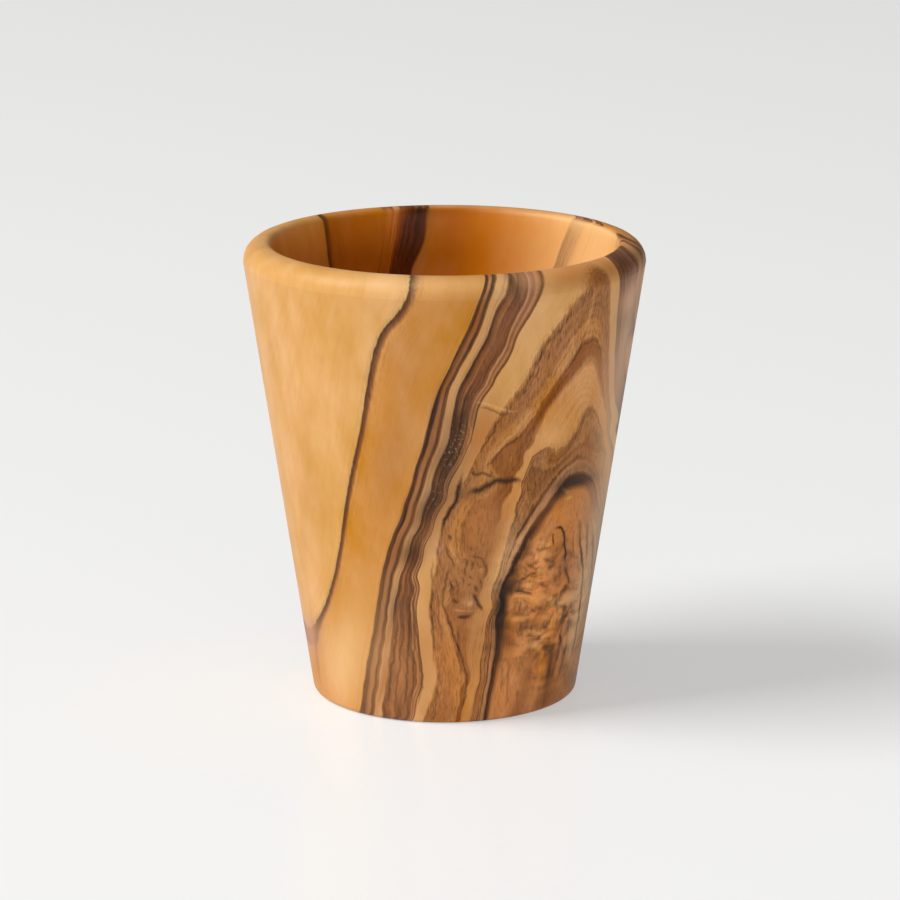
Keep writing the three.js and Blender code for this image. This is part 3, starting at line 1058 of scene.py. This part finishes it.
@dataclass(frozen=True)
class OiledOlive:
    """Olive wood, turned, sanded and oiled: warm bands with dark veins under a soft satin shine."""

    bands: tuple[tuple[Band, ...], tuple[Band, ...]]
    soft_bands: tuple[Band, ...]
    habits: tuple[Habit, ...]
    stroke_layers: int
    name: str = "olive_wood_turned_sanded_and_oiled"
    ior: float = 1.47
    shine: float = 0.18
    roughness_low: float = 0.36
    roughness_high: float = 0.5
    bump_strength: float = 0.12
    bump_depth: float = 0.05
    # Real fibres and pores are finer than these, which are as coarse as they need to be to show
    fibre_width: float = 0.35
    fibre_length: float = 3.2
    fibre_detail: float = 3.0
    fleck_width: float = 0.2
    fleck_length: float = 2.0
    fleck_detail: float = 2.0
    fleck_reach: float = 1.8
    pit_size: float = 0.3
    pit_detail: float = 0.0
    pit_edge: tuple[float, float] = (0.66, 0.74)
    patch_size: float = 4.0
    patch_detail: float = 1.0
    patch_edge: tuple[float, float] = (0.35, 0.65)
    feather_reach: tuple[float, float] = (0.2, 1.7)
    wander_size: float = 6.0
    wander_detail: float = 3.0
    wander_reach: float = 0.14
    curl_size: float = 2.2
    curl_detail: float = 2.0
    curl_reach: float = 9.0
    streak_width: float = 0.35
    streak_length: float = 9.0
    streak_detail: float = 4.0
    streak_roughness: float = 0.6
    streak_reach: float = 2.6
    curly_length: float = 3.2
    curly_width: float = 1.5
    curly_bearing: float = 36.0
    curly_bend: float = 6.0
    curly_bend_size: float = 5.0
    curly_bend_detail: float = 1.0
    curly_detail: float = 3.0
    curly_reach: float = 8.0
    curly_vein: float = 0.3
    grain_value: tuple[float, float] = (1.4, 0.6)
    uneven_size: float = 1.5
    uneven_detail: float = 2.0
    uneven_reach: float = 0.4
    blotch_sizes: tuple[float, ...] = (9.0, 3.0)
    blotch_stretch: float = 2.0
    blotch_detail: float = 4.0
    blotch_edge: tuple[float, float] = (0.3, 0.7)
    blotch_warmth: tuple[float, float] = (0.96, 1.05)
    blotch_value: tuple[float, float] = (1.06, 0.94)
    # Painted bounce light in the bore: it is made more saturated, oranger and lighter in place of light
    # bounced between its walls
    bore_painted_bounce_saturation: float = 0.15
    bore_painted_light_lift: float = 0.12
    bore_painted_bounce_hue: float = -0.01

    def material(self) -> bpy.types.Material:
        """Makes the wood's material.

        Returns:
            The material, ready to assign.
        """
        made = bpy.data.materials.new(self.name)
        made.use_nodes = True
        tree = made.node_tree
        place = add_node(tree, PLACE, output="Object")
        smooth = add_node(tree, ATTRIBUTE, output="Fac", attribute_name="depth")
        streak, feather, speckle = self.habit(tree, smooth)
        thin, long = 1 / (self.fibre_width * MM), 1 / (self.fibre_length * MM)
        fibres = add_node(tree, MAPPING, {"Vector": place, "Scale": (thin, thin, long)})
        fibre = add_node(tree, NOISE, {"Vector": fibres, "Scale": 1.0, "Detail": self.fibre_detail})
        depth = self.bent_depth(tree, place, smooth, fibre, feather)
        colour, vein = self.figure(tree, depth)
        colour = self.blotches(tree, place, colour)
        colour, vein = self.grain(tree, place, depth, (colour, vein), (streak, speckle))
        colour = self.marks(tree, place, colour, vein)
        shader = tree.nodes["Principled BSDF"]
        tree.links.new(colour, shader.inputs["Base Color"])
        self.surface(tree, shader, fibre)
        return made

    def run(self, tree: Tree, depth: Socket, stops: tuple[Band, ...] | tuple[Habit, ...]) -> bpy.types.Node:
        """Turns depth into values that change from stop to stop.

        Args:
            tree: The material's node tree.
            depth: The depth in millimetres.
            stops: The values, in order of depth.

        Returns:
            The ramp node that gives them.
        """
        first, last = stops[0].depth, stops[-1].depth
        share = add_node(tree, RANGE, {"Value": depth, "From Min": first, "From Max": last})
        ramp = add_node(tree, RAMP, {"Fac": share}).node
        while len(ramp.color_ramp.elements) < len(stops):
            ramp.color_ramp.elements.new(1.0)
        for element, stop in zip(ramp.color_ramp.elements, stops):
            element.position = (stop.depth - first) / (last - first)
            element.color = stop.values
        return ramp

    def habit(self, tree: Tree, smooth: Socket) -> tuple[Socket, Socket, Socket]:
        """Finds how the wood behaves at each depth.

        Args:
            tree: The material's node tree.
            smooth: The smooth depth in millimetres.

        Returns:
            How streaked, how feathered and how speckled the wood is, each from 0 to 1.
        """
        habits = self.run(tree, smooth, self.habits).outputs[0]
        split = add_node(tree, SEPARATE_COLOUR, {0: habits}).node
        return split.outputs[0], split.outputs[1], split.outputs[2]

    def bent_depth(self, tree: Tree, place: Socket, smooth: Socket, fibre: Socket, feather: Socket) -> Socket:
        """Roughens the smooth depth: fibres feather its lines, and curls turn them round the knots.

        Args:
            tree: The material's node tree.
            place: The place on the cup.
            smooth: The smooth depth in millimetres.
            fibre: The pattern of the fibres.
            feather: How feathered the wood is.

        Returns:
            The bent depth in millimetres.
        """
        form = add_node(tree, ATTRIBUTE, output="Vector", attribute_name="form")
        swirl = add_node(tree, SEPARATE, {0: form})
        patch, wander, curl = (
            add_node(tree, NOISE, {"Vector": place, "Scale": 1 / (size * MM), "Detail": detail})
            for size, detail in (
                (self.patch_size, self.patch_detail),
                (self.wander_size, self.wander_detail),
                (self.curl_size, self.curl_detail),
            )
        )
        low, high = self.patch_edge
        least, most = self.feather_reach
        spread = {"Value": patch, "From Min": low, "From Max": high}
        patchy = add_node(tree, RANGE, {**spread, "To Min": least, "To Max": most})
        feathered = add_node(tree, MATH, {0: feather, 1: patchy}, operation="MULTIPLY")
        curled = add_node(tree, MATH, {0: swirl, 1: self.curl_reach}, operation="MULTIPLY")
        bent = smooth
        for pattern, reach in ((fibre, feathered), (wander, self.wander_reach), (curl, curled)):
            centred = add_node(tree, MATH, {0: pattern, 1: NOISE_MIDDLE}, operation="SUBTRACT")
            bent = add_node(tree, MATH, {0: centred, 1: reach, 2: bent}, operation="MULTIPLY_ADD")
        return bent

    def figure(self, tree: Tree, depth: Socket) -> tuple[Socket, Socket]:
        """Turns depth into the bands of the wood, soft where the wood fades and crisp elsewhere.

        Args:
            tree: The material's node tree.
            depth: The bent depth in millimetres.

        Returns:
            The wood's tone, and its share of dark vein.
        """
        outer, inner = (self.run(tree, depth, bands) for bands in self.bands)
        soft = self.run(tree, depth, self.soft_bands)
        deeper = add_node(tree, MATH, {0: depth, 1: SPLIT.depth}, operation="GREATER_THAN")
        tint = add_node(tree, ATTRIBUTE, output="Vector", attribute_name="tint")
        fade = add_node(tree, SEPARATE, {0: tint})
        tone, vein = outer.outputs
        for share, ramp in ((deeper, inner), (fade, soft)):
            mixed = {FACTOR: share, COLOUR_A: tone, COLOUR_B: ramp.outputs[0]}
            tone = add_node(tree, MIX, mixed, COLOUR_OUT, data_type="RGBA")
            vein = add_node(tree, MIX, {FACTOR: share, VALUE_A: vein, VALUE_B: ramp.outputs[1]})
        return tone, vein

    def blotches(self, tree: Tree, place: Socket, colour: Socket) -> Socket:
        """Adds the soft warm and pale blotches of the plain wood.

        Args:
            tree: The material's node tree.
            place: The place on the cup.
            colour: The wood's tone.

        Returns:
            The varied tone.
        """
        low, high = self.blotch_edge
        for size in self.blotch_sizes:
            wide = 1 / (size * MM)
            scale = (wide, wide, wide / self.blotch_stretch)
            stretched = add_node(tree, MAPPING, {"Vector": place, "Scale": scale})
            blotch = add_node(tree, NOISE, {"Vector": stretched, "Scale": 1.0, "Detail": self.blotch_detail})
            spread = {"Value": blotch, "From Min": low, "From Max": high}
            warmth, value = (
                add_node(tree, RANGE, {**spread, "To Min": least, "To Max": most})
                for least, most in (self.blotch_warmth, self.blotch_value)
            )
            colour = add_node(tree, HUE, {"Color": colour, "Saturation": warmth, "Value": value})
        return colour

    def grain(
        self,
        tree: Tree,
        place: Socket,
        depth: Socket,
        wood: tuple[Socket, Socket],
        habit: tuple[Socket, Socket],
    ) -> tuple[Socket, Socket]:
        """Adds fine lines that follow the growth, short dark fibres, and the wavy fibres of the knot.

        Args:
            tree: The material's node tree.
            place: The place on the cup.
            depth: The bent depth in millimetres.
            wood: The wood's tone, and its share of dark vein.
            habit: How streaked and how flecked the wood is.

        Returns:
            The tone, and the share of dark vein.
        """
        colour, vein = wood
        streak, fleck = habit
        across = add_node(tree, MATH, {0: depth, 1: 1 / self.streak_width}, operation="MULTIPLY")
        drawn_out = 1 / (self.streak_length * MM)
        along = add_node(tree, MAPPING, {"Vector": place, "Scale": (drawn_out,) * 3})
        side, _, height = add_node(tree, SEPARATE, {0: along}).node.outputs
        run = add_node(tree, COMBINE, {0: across, 1: side, 2: height})
        fine = {"Detail": self.streak_detail, "Roughness": self.streak_roughness}
        lines = add_node(tree, NOISE, {"Vector": run, "Scale": 1.0, **fine})
        thin, short = 1 / (self.fleck_width * MM), 1 / (self.fleck_length * MM)
        dashes = add_node(tree, MAPPING, {"Vector": place, "Scale": (thin, thin, short)})
        flecks = add_node(tree, NOISE, {"Vector": dashes, "Scale": 1.0, "Detail": self.fleck_detail})
        slow = {"Scale": 1 / (self.curly_bend_size * MM), "Detail": self.curly_bend_detail}
        bend = add_node(tree, NOISE, {"Vector": place, **slow}, "Color")
        bend_reach = (self.curly_bend * MM,) * 3
        bent = add_node(tree, VECTOR_MATH, {0: bend, 1: bend_reach, 2: place}, operation="MULTIPLY_ADD")
        waves = add_node(
            tree,
            MAPPING,
            {
                "Vector": bent,
                "Rotation": (0.0, 0.0, math.radians(self.curly_bearing)),
                "Scale": (self.curly_length * MM, self.curly_width * MM, self.curly_width * MM),
            },
            vector_type="TEXTURE",
        )
        wavy = add_node(tree, NOISE, {"Vector": waves, "Scale": 1.0, "Detail": self.curly_detail})
        calm = add_node(tree, ATTRIBUTE, output="Vector", attribute_name="calm")
        _, _, curly = add_node(tree, SEPARATE, {0: calm}).node.outputs
        bright, dim = self.grain_value
        for pattern, amount, reach, vein_share in (
            (lines, streak, self.streak_reach, 1.0),
            (flecks, fleck, self.fleck_reach, 1.0),
            (wavy, curly, self.curly_reach, self.curly_vein),
        ):
            centred = add_node(tree, MATH, {0: pattern, 1: NOISE_MIDDLE}, operation="SUBTRACT")
            swing = add_node(tree, MATH, {0: centred, 1: reach}, operation="MULTIPLY")
            drop = add_node(tree, MATH, {0: swing, 1: amount}, operation="MULTIPLY")
            vein = add_node(tree, MATH, {0: drop, 1: vein_share, 2: vein}, operation="MULTIPLY_ADD")
            spread = {"Value": drop, "From Min": -1.0, "From Max": 1.0}
            value = add_node(tree, RANGE, {**spread, "To Min": bright, "To Max": dim})
            colour = add_node(tree, HUE, {"Color": colour, "Value": value})
        return colour, vein

    def marks(self, tree: Tree, place: Socket, colour: Socket, vein: Socket) -> Socket:
        """Lays the dark veins, the soft patches and the drawn strokes over the wood, with pale specks of
        painted glint in the pits, and paints bounce light into the bore.

        Args:
            tree: The material's node tree.
            place: The place on the cup.
            colour: The wood's tone.
            vein: The share of dark vein.

        Returns:
            The finished colour.
        """
        tint, form, calm, wash = (
            add_node(tree, ATTRIBUTE, output="Vector", attribute_name=name) for name in STAIN_FIELDS
        )
        _, dark, pale = add_node(tree, SEPARATE, {0: tint}).node.outputs
        _, glinting_pits, red = add_node(tree, SEPARATE, {0: form}).node.outputs
        plain, bleach, _ = add_node(tree, SEPARATE, {0: calm}).node.outputs
        orange, rose, _ = add_node(tree, SEPARATE, {0: wash}).node.outputs
        kept = add_node(tree, MATH, {0: 1.0, 1: bleach}, operation="SUBTRACT")
        kept_vein = add_node(tree, MATH, {0: vein, 1: kept}, operation="MULTIPLY", use_clamp=True)
        stroke = self.strokes(tree, place)
        pale_stroke = add_node(tree, MATH, {0: stroke, 1: -1.0}, operation="MULTIPLY", use_clamp=True)
        dark_stroke = add_node(tree, MATH, {0: stroke, 1: 1.0}, operation="MULTIPLY", use_clamp=True)
        # Pale specks in the open pits: a painted glint off them
        low, high = self.pit_edge
        fine = {"Scale": 1 / (self.pit_size * MM), "Detail": self.pit_detail}
        glint_speck_noise = add_node(tree, NOISE, {"Vector": place, **fine})
        dot = add_node(tree, RANGE, {"Value": glint_speck_noise, "From Min": low, "From Max": high})
        painted_pit_glint = add_node(tree, MATH, {0: dot, 1: glinting_pits}, operation="MULTIPLY")
        for share, tone in (
            (plain, Tone.FIGURE),
            (red, Tone.CHESTNUT),
            (orange, Tone.ORANGE),
            (rose, Tone.ROSE),
            (pale, Tone.BLOND),
            (pale_stroke, Tone.GLEAM),
            (kept_vein, Tone.VEIN),
            (dark_stroke, Tone.VEIN),
            (dark, Tone.PITCH),
            (painted_pit_glint, Tone.PIT_GLINT),
        ):
            mixed = {FACTOR: share, COLOUR_A: colour, COLOUR_B: linear(tone.value)}
            colour = add_node(tree, MIX, mixed, COLOUR_OUT, data_type="RGBA")
        # Painted bounce light: the bore is made more saturated, a little oranger and lighter
        bore = add_node(tree, ATTRIBUTE, output="Fac", attribute_name="bore")
        warmth = add_node(tree, MATH, {0: bore, 1: self.bore_painted_bounce_saturation, 2: 1.0}, operation="MULTIPLY_ADD")
        painted_bore_light = add_node(tree, MATH, {0: bore, 1: self.bore_painted_light_lift, 2: 1.0}, operation="MULTIPLY_ADD")
        painted_bounce_hue = add_node(tree, MATH, {0: bore, 1: self.bore_painted_bounce_hue, 2: SAME_HUE}, operation="MULTIPLY_ADD")
        return add_node(tree, HUE, {"Color": colour, "Hue": painted_bounce_hue, "Saturation": warmth, "Value": painted_bore_light})

    def strokes(self, tree: Tree, place: Socket) -> Socket:
        """Draws the strokes, a little uneven along their length.

        Args:
            tree: The material's node tree.
            place: The place on the cup.

        Returns:
            How strong the stroke is at each place, below 0 where it is a pale one.
        """
        slow = {"Scale": 1 / (self.uneven_size * MM), "Detail": self.uneven_detail}
        uneven = add_node(tree, NOISE, {"Vector": place, **slow})
        reach = self.uneven_reach
        shift = add_node(tree, RANGE, {"Value": uneven, "To Min": -reach, "To Max": reach})
        total: Socket | None = None
        for layer in range(self.stroke_layers):
            mark = add_node(tree, ATTRIBUTE, output="Vector", attribute_name=f"stroke_{layer}")
            offset, half_width, strength = add_node(tree, SEPARATE, {0: mark}).node.outputs
            moved = add_node(tree, MATH, {0: offset, 1: shift}, operation="ADD")
            gap = add_node(tree, MATH, {0: moved}, operation="ABSOLUTE")
            edge = {"Value": gap, "From Min": half_width, "From Max": 0.0}
            line = add_node(tree, RANGE, edge, interpolation_type="SMOOTHSTEP")
            drawn = add_node(tree, MATH, {0: strength, 1: line}, operation="MULTIPLY")
            total = add_node(tree, MATH, {0: drawn, 1: total}, operation="ADD") if total else drawn
        return total

    def surface(self, tree: Tree, shader: bpy.types.Node, fibre: Socket) -> None:
        """Gives the shader its satin roughness and the bump of open fibres.

        Args:
            tree: The material's node tree.
            shader: The shader to finish.
            fibre: The pattern of the fibres.
        """
        rough = add_node(
            tree, RANGE, {"Value": fibre, "To Min": self.roughness_low, "To Max": self.roughness_high}
        )
        depth = self.bump_depth * MM
        bump = add_node(tree, BUMP, {"Height": fibre, "Strength": self.bump_strength, "Distance": depth})
        tree.links.new(rough, shader.inputs["Roughness"])
        tree.links.new(bump, shader.inputs["Normal"])
        shader.inputs["IOR"].default_value = self.ior
        shader.inputs["Specular IOR Level"].default_value = self.shine


@dataclass
class TurnedCup:
    """The cup: one turned piece with a straight flared wall, a rounded lip and a round-cornered bore."""

    sizes: CupSizes
    billet: Billet
    finish: OiledOlive
    name: str = "turned_olive_cup"
    steps_around: int = 320
    wall_row: float = 0.5
    hidden_row: float = 0.9
    least_round_steps: int = 5
    weld: float = 0.001
    # How near the crease an edge has to lie, up and in, and how far in the bore's painted bounce light begins
    crease_rise: float = 0.01
    crease_reach: float = 0.1
    bore_start: float = 0.5
    # The share of the foot's round below which the rows are coarse
    base_share: float = 0.25
    piece: bpy.types.Object = field(init=False)

    def build(self) -> bpy.types.Object:
        """Turns the profile round the axis and makes the piece.

        Returns:
            The cup's object.
        """
        bm = bmesh.new()
        self.draw_profile(bm)
        bmesh.ops.spin(
            bm,
            geom=bm.verts[:] + bm.edges[:],
            cent=(0, 0, 0),
            axis=(0, 0, 1),
            angle=math.tau,
            steps=self.steps_around,
            use_merge=True,
        )
        bmesh.ops.remove_doubles(bm, verts=bm.verts[:], dist=self.weld * MM)
        bmesh.ops.recalc_face_normals(bm, faces=bm.faces[:])
        for face in bm.faces:
            face.smooth = True
        for edge in bm.edges:
            edge.smooth = not self.on_crease(edge)
        mesh = bpy.data.meshes.new(self.name)
        bm.to_mesh(mesh)
        bm.free()
        self.piece = bpy.data.objects.new(self.name, mesh)
        bpy.context.scene.collection.objects.link(self.piece)
        return self.piece

    def on_crease(self, edge: bmesh.types.BMEdge) -> bool:
        """Tells whether an edge runs along the crease under the lip.

        Args:
            edge: The edge to look at.

        Returns:
            True where both its ends are on the crease.
        """
        spots = [vert.co / MM for vert in edge.verts]
        level = all(abs(spot.z - self.sizes.crease_height) < self.crease_rise for spot in spots)
        least = self.sizes.mouth_radius - self.crease_reach
        return level and all(spot.xy.length > least for spot in spots)

    def draw_profile(self, bm: bmesh.types.BMesh) -> None:
        """Draws half of the cup's section, rounds its corners and splits it into fine rows.

        Args:
            bm: The empty mesh to draw in.
        """
        sizes = self.sizes
        corners = (
            (0.0, 0.0, 0.0),
            (sizes.base_radius, 0.0, sizes.foot_round),
            (sizes.mouth_radius, sizes.crease_height, 0.0),
            (sizes.mouth_radius, sizes.height, sizes.lip_outer_round),
            (sizes.mouth_radius - sizes.lip_wall, sizes.height, sizes.lip_inner_round),
            (sizes.heel_radius, sizes.floor_thickness, sizes.floor_round),
            (0.0, sizes.floor_thickness, 0.0),
        )
        spots = [Vector((radius * MM, 0, height * MM)) for radius, height, _ in corners]
        verts = [bm.verts.new(spot) for spot in spots]
        for first, second in zip(verts, verts[1:]):
            bm.edges.new((first, second))
        for i, (_, _, radius) in enumerate(corners):
            if radius:
                half = (spots[i - 1] - spots[i]).angle(spots[i + 1] - spots[i]) / 2
                bmesh.ops.bevel(
                    bm,
                    geom=[verts[i]],
                    offset=radius * MM / math.tan(half),
                    offset_type="OFFSET",
                    segments=max(self.least_round_steps, math.ceil(radius / self.wall_row)),
                    profile=0.5,
                    affect="VERTICES",
                    material=-1,
                )
        for edge in bm.edges[:]:
            middle = (edge.verts[0].co + edge.verts[1].co) / 2 / MM
            outside = middle.x > float(sizes.outer_radius(middle.z)) - sizes.lip_wall / 2
            seen = outside and middle.z > sizes.foot_round * self.base_share
            row = self.wall_row if seen else self.hidden_row
            cuts = math.ceil(edge.calc_length() / (row * MM)) - 1
            if cuts > 0:
                bmesh.ops.subdivide_edges(bm, edges=[edge], cuts=cuts)

    def painted_bore_light_share(self, points: np.ndarray) -> np.ndarray:
        """Tells how far points belong to the bore, which gets painted bounce light: not at all on the wall,
        more and more over the lip's top.

        Args:
            points: Points of the cup, as rows of x, y and z.

        Returns:
            A share from 0 to 1 for each point.
        """
        height = points[:, 2]
        inward = self.sizes.outer_radius(height) - np.hypot(points[:, 0], points[:, 1])
        share = (inward - self.bore_start) / (self.sizes.lip_wall - self.bore_start)
        return np.clip(share, 0, 1) * (height > self.sizes.foot_round)

    def dress(self) -> None:
        """Writes the wood's figure on the mesh and gives the piece its finish."""
        mesh = self.piece.data
        flat = np.empty(len(mesh.vertices) * 3)
        mesh.vertices.foreach_get("co", flat)
        points = flat.reshape(-1, 3) / MM
        # The bore share is the mask of the bore's painted bounce light
        for name, values in (("depth", self.billet.depth(points)), ("bore", self.painted_bore_light_share(points))):
            attribute = mesh.attributes.new(name, "FLOAT", "POINT")
            attribute.data.foreach_set("value", values.astype(np.float32))
        fields = {name: self.billet.stain_values(points, name) for name in STAIN_FIELDS}
        for number, layer in enumerate(self.billet.layers()):
            fields[f"stroke_{number}"] = self.billet.stroke_values(points, layer)
        for name, values in fields.items():
            attribute = mesh.attributes.new(name, "FLOAT_VECTOR", "POINT")
            attribute.data.foreach_set("vector", values.astype(np.float32).ravel())
        mesh.materials.append(self.finish.material())
        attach(self.piece, BODY)
        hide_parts(NODE)


@dataclass(frozen=True)
class PolishedStone:
    """Pale stone, ground and polished: near white with a faint shine.

    It glows a little to the rays that see it, which keeps it bright in the picture.
    """

    name: str = "polished_pale_stone"
    colour: str = "fbfbfa"
    roughness: float = 0.25
    glow: float = 0.44

    def material(self) -> bpy.types.Material:
        """Makes the stone's material.

        Returns:
            The material, ready to assign.
        """
        made = bpy.data.materials.new(self.name)
        made.use_nodes = True
        tree = made.node_tree
        shader = tree.nodes["Principled BSDF"]
        shader.inputs["Base Color"].default_value = linear(self.colour)
        shader.inputs["Roughness"].default_value = self.roughness
        path = add_node(tree, LIGHT_PATH).node
        seen = path.outputs["Is Camera Ray"]
        for ray in ("Is Glossy Ray", "Is Transmission Ray"):
            seen = add_node(tree, MATH, {0: seen, 1: path.outputs[ray]}, operation="MAXIMUM")
        share = add_node(tree, MATH, {0: seen, 1: self.glow}, operation="MULTIPLY")
        light = add_node(tree, EMISSION, {"Color": linear(self.colour), "Strength": 1.0})
        mixed = add_node(tree, MIX_SHADER, {0: share, 1: shader.outputs[0], 2: light})
        tree.links.new(mixed, tree.nodes["Material Output"].inputs["Surface"])
        return made


@dataclass(frozen=True)
class Lamp:
    """A large soft lamp: its place, width and height in millimetres, and its power in watts."""

    name: str
    place: tuple[float, float, float]
    width: float
    height: float
    power: float


@dataclass
class Studio:
    """The plain pale floor, the soft light and the camera."""

    floor_size: float = 6000.0
    floor_finish: PolishedStone = PolishedStone()
    camera_place: tuple[float, float, float] = (0.7, -528.95, 165.0)
    camera_pitch: float = 75.88
    sensor: float = 36.0
    lens: float = 166.99
    key: Lamp = Lamp("key", (-1590.0, -340.0, 1626.0), 1250.0, 1250.0, 58.5)
    fill: Lamp = Lamp("fill", (220.0, -1250.0, 140.0), 1400.0, 220.0, 6.0)
    sky_colour: str = "ffffff"
    sky_level: float = 0.22
    aim: tuple[float, float, float] = (0.0, 0.0, 30.0)

    def build(self) -> None:
        """Makes the floor, the light and the camera."""
        self.make_floor()
        self.make_light()
        self.make_camera()

    def make_floor(self) -> None:
        """Makes a flat floor of polished stone."""
        bm = bmesh.new()
        bmesh.ops.create_grid(bm, x_segments=1, y_segments=1, size=self.floor_size * MM / 2)
        mesh = bpy.data.meshes.new("floor")
        bm.to_mesh(mesh)
        bm.free()
        floor = bpy.data.objects.new("floor", mesh)
        bpy.context.scene.collection.objects.link(floor)
        mesh.materials.append(self.floor_finish.material())

    def make_light(self) -> None:
        """Makes the large soft lamps and an even pale sky."""
        for lamp in (self.key, self.fill):
            light = bpy.data.lights.new(lamp.name, "AREA")
            light.shape = "RECTANGLE"
            light.size = lamp.width * MM
            light.size_y = lamp.height * MM
            light.energy = lamp.power
            stand = bpy.data.objects.new(lamp.name, light)
            stand.location = Vector(lamp.place) * MM
            towards = Vector(self.aim) - Vector(lamp.place)
            stand.rotation_euler = towards.to_track_quat("-Z", "Y").to_euler()
            bpy.context.scene.collection.objects.link(stand)
        world = bpy.data.worlds.new("studio")
        bpy.context.scene.world = world
        world.use_nodes = True
        background = world.node_tree.nodes["Background"]
        background.inputs["Color"].default_value = linear(self.sky_colour)
        background.inputs["Strength"].default_value = self.sky_level

    def make_camera(self) -> None:
        """Makes the camera that sees the cup from the front, a little from above."""
        data = bpy.data.cameras.new("camera")
        data.sensor_width = self.sensor
        data.lens = self.lens
        camera = bpy.data.objects.new("camera", data)
        camera.location = Vector(self.camera_place) * MM
        camera.rotation_euler = (math.radians(self.camera_pitch), 0, 0)
        bpy.context.scene.collection.objects.link(camera)
        bpy.context.scene.camera = camera


def main() -> None:
    """Builds the studio and the cup, and notes the sizes."""
    logging.basicConfig(level=logging.INFO, format="%(name)s: %(message)s")
    bpy.context.scene.view_settings.view_transform = "Standard"
    Studio().build()
    _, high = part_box(NODE)
    sizes = CupSizes(height=high.z / MM, mouth_radius=high.x / MM)
    billet = Billet(sizes, VEINS, STAINS, STROKES)
    finish = OiledOlive((OUTER_BANDS, INNER_BANDS), SOFT_BANDS, HABITS, len(billet.layers()))
    cup = TurnedCup(sizes, billet, finish)
    cup.build()
    cup.dress()
    vertices = len(cup.piece.data.vertices)
    log.info("%s: %d vertices, %d stroke layers", cup.piece.name, vertices, finish.stroke_layers)


if __name__ == "__main__":
    main()
